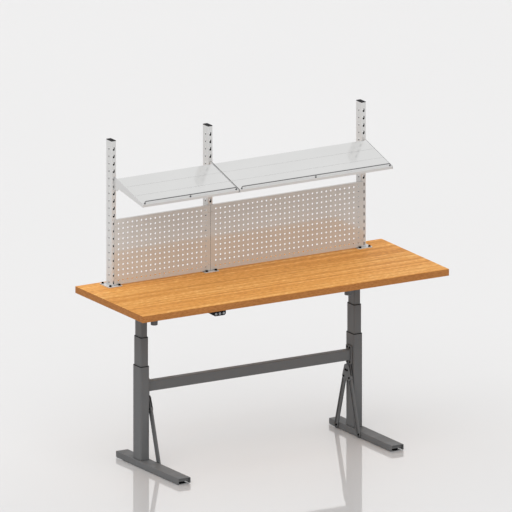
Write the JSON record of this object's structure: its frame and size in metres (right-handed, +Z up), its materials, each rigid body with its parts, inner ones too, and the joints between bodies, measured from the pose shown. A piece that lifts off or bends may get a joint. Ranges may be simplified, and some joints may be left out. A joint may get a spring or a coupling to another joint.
{
  "type": "height-adjustable desk",
  "caption": "Electric height-adjustable workbench desk with wood-look top, T-feet, braced telescopic columns, slotted posts, perforated panels and tilted shelves.",
  "frame": {"origin": "on the floor under the middle of the worktop", "axes": "+X along the desk to the right of a person working at it, +Y towards its back, +Z up"},
  "size_m": [2, 0.75, 1.884],
  "materials": {
    "graphite_powder_coat": "satin powder coat",
    "black_powder_coat": "satin powder coat",
    "light_grey_powder_coat": "semi-gloss powder coat",
    "warm_grey_powder_coat": "gloss powder coat",
    "wood_laminate": "satin laminate",
    "black_plastic": "fine moulded texture",
    "grey_button_plastic": "satin moulded",
    "black_steel": "black oxide",
    "zinc_steel": "zinc plated",
    "wire_steel": "semi-gloss dip coat",
    "drive_alloy": "satin paint"
  },
  "bodies": {
    "base": {"left_foot": "graphite_powder_coat", "right_foot": "graphite_powder_coat", "left_outer_tube": "graphite_powder_coat", "right_outer_tube": "graphite_powder_coat", "outer_guides": "black_plastic", "fixed_spindle_tubes": "zinc_steel", "foot_bolts": "black_steel", "crossbar": "graphite_powder_coat", "crossbar_screws": "black_steel", "left_gusset": "graphite_powder_coat", "right_gusset": "graphite_powder_coat", "left_front_brace": "graphite_powder_coat", "left_back_brace": "graphite_powder_coat", "right_front_brace": "graphite_powder_coat", "right_back_brace": "graphite_powder_coat", "brace_bolts": "black_steel"},
    "top": {"left_inner_tube": "graphite_powder_coat", "right_inner_tube": "graphite_powder_coat", "inner_guides": "black_plastic", "solid_screws": "zinc_steel", "left_drive_unit": "drive_alloy", "right_drive_unit": "drive_alloy", "left_support_arm": "black_powder_coat", "right_support_arm": "black_powder_coat", "front_rail": "black_powder_coat", "back_rail": "black_powder_coat", "control_box": "black_plastic", "handset_housing": "black_plastic", "frame_screws": "zinc_steel", "worktop": "wood_laminate", "left_post": "light_grey_powder_coat", "middle_post": "light_grey_powder_coat", "right_post": "light_grey_powder_coat", "post_caps": "black_plastic", "post_base_screws": "black_steel", "left_panel": "warm_grey_powder_coat", "right_panel": "warm_grey_powder_coat", "panel_screws": "warm_grey_powder_coat", "left_shelf": "light_grey_powder_coat", "right_shelf": "light_grey_powder_coat", "left_shelf_outer_bracket": "light_grey_powder_coat", "left_shelf_inner_bracket": "light_grey_powder_coat", "right_shelf_inner_bracket": "light_grey_powder_coat", "right_shelf_outer_bracket": "light_grey_powder_coat", "left_stop_rail": "wire_steel", "right_stop_rail": "wire_steel"},
    "left_middle": {"left_middle_tube": "graphite_powder_coat", "left_middle_guides": "black_plastic", "left_hollow_screw": "zinc_steel"},
    "right_middle": {"right_middle_tube": "graphite_powder_coat", "right_middle_guides": "black_plastic", "right_hollow_screw": "zinc_steel"},
    "left_front_glide": {"left_front_glide": "black_plastic"},
    "left_back_glide": {"left_back_glide": "black_plastic"},
    "right_front_glide": {"right_front_glide": "black_plastic"},
    "right_back_glide": {"right_back_glide": "black_plastic"},
    "up_button": {"up_button": "grey_button_plastic"},
    "down_button": {"down_button": "grey_button_plastic"},
    "memory_button": {"memory_button": "grey_button_plastic"}
  },
  "joints": [
    {"name": "lift", "type": "slide", "parent": "base", "child": "top", "axis": [0, 0, 1], "range_m": [-0.29, 0.31]},
    {"name": "left_middle_slide", "type": "slide", "parent": "base", "child": "left_middle", "axis": [0, 0, 1], "range_m": [-0.145, 0.155]},
    {"name": "right_middle_slide", "type": "slide", "parent": "base", "child": "right_middle", "axis": [0, 0, 1], "range_m": [-0.145, 0.155]},
    {"name": "left_front_glide_screw", "type": "slide", "parent": "base", "child": "left_front_glide", "axis": [0, 0, 1], "range_m": [-0.01, 0]},
    {"name": "left_back_glide_screw", "type": "slide", "parent": "base", "child": "left_back_glide", "axis": [0, 0, 1], "range_m": [-0.01, 0]},
    {"name": "right_front_glide_screw", "type": "slide", "parent": "base", "child": "right_front_glide", "axis": [0, 0, 1], "range_m": [-0.01, 0]},
    {"name": "right_back_glide_screw", "type": "slide", "parent": "base", "child": "right_back_glide", "axis": [0, 0, 1], "range_m": [-0.01, 0]},
    {"name": "up_button_press", "type": "slide", "parent": "top", "child": "up_button", "axis": [0, 1, 0], "range_m": [0, 0.0015], "stiffness_N_per_m": 400},
    {"name": "down_button_press", "type": "slide", "parent": "top", "child": "down_button", "axis": [0, 1, 0], "range_m": [0, 0.0015], "stiffness_N_per_m": 400},
    {"name": "memory_button_press", "type": "slide", "parent": "top", "child": "memory_button", "axis": [0, 1, 0], "range_m": [0, 0.0015], "stiffness_N_per_m": 400}
  ],
  "couplings": [
    {"joint": "left_middle_slide", "follows": "lift", "ratio": 0.5},
    {"joint": "right_middle_slide", "follows": "lift", "ratio": 0.5}
  ]
}
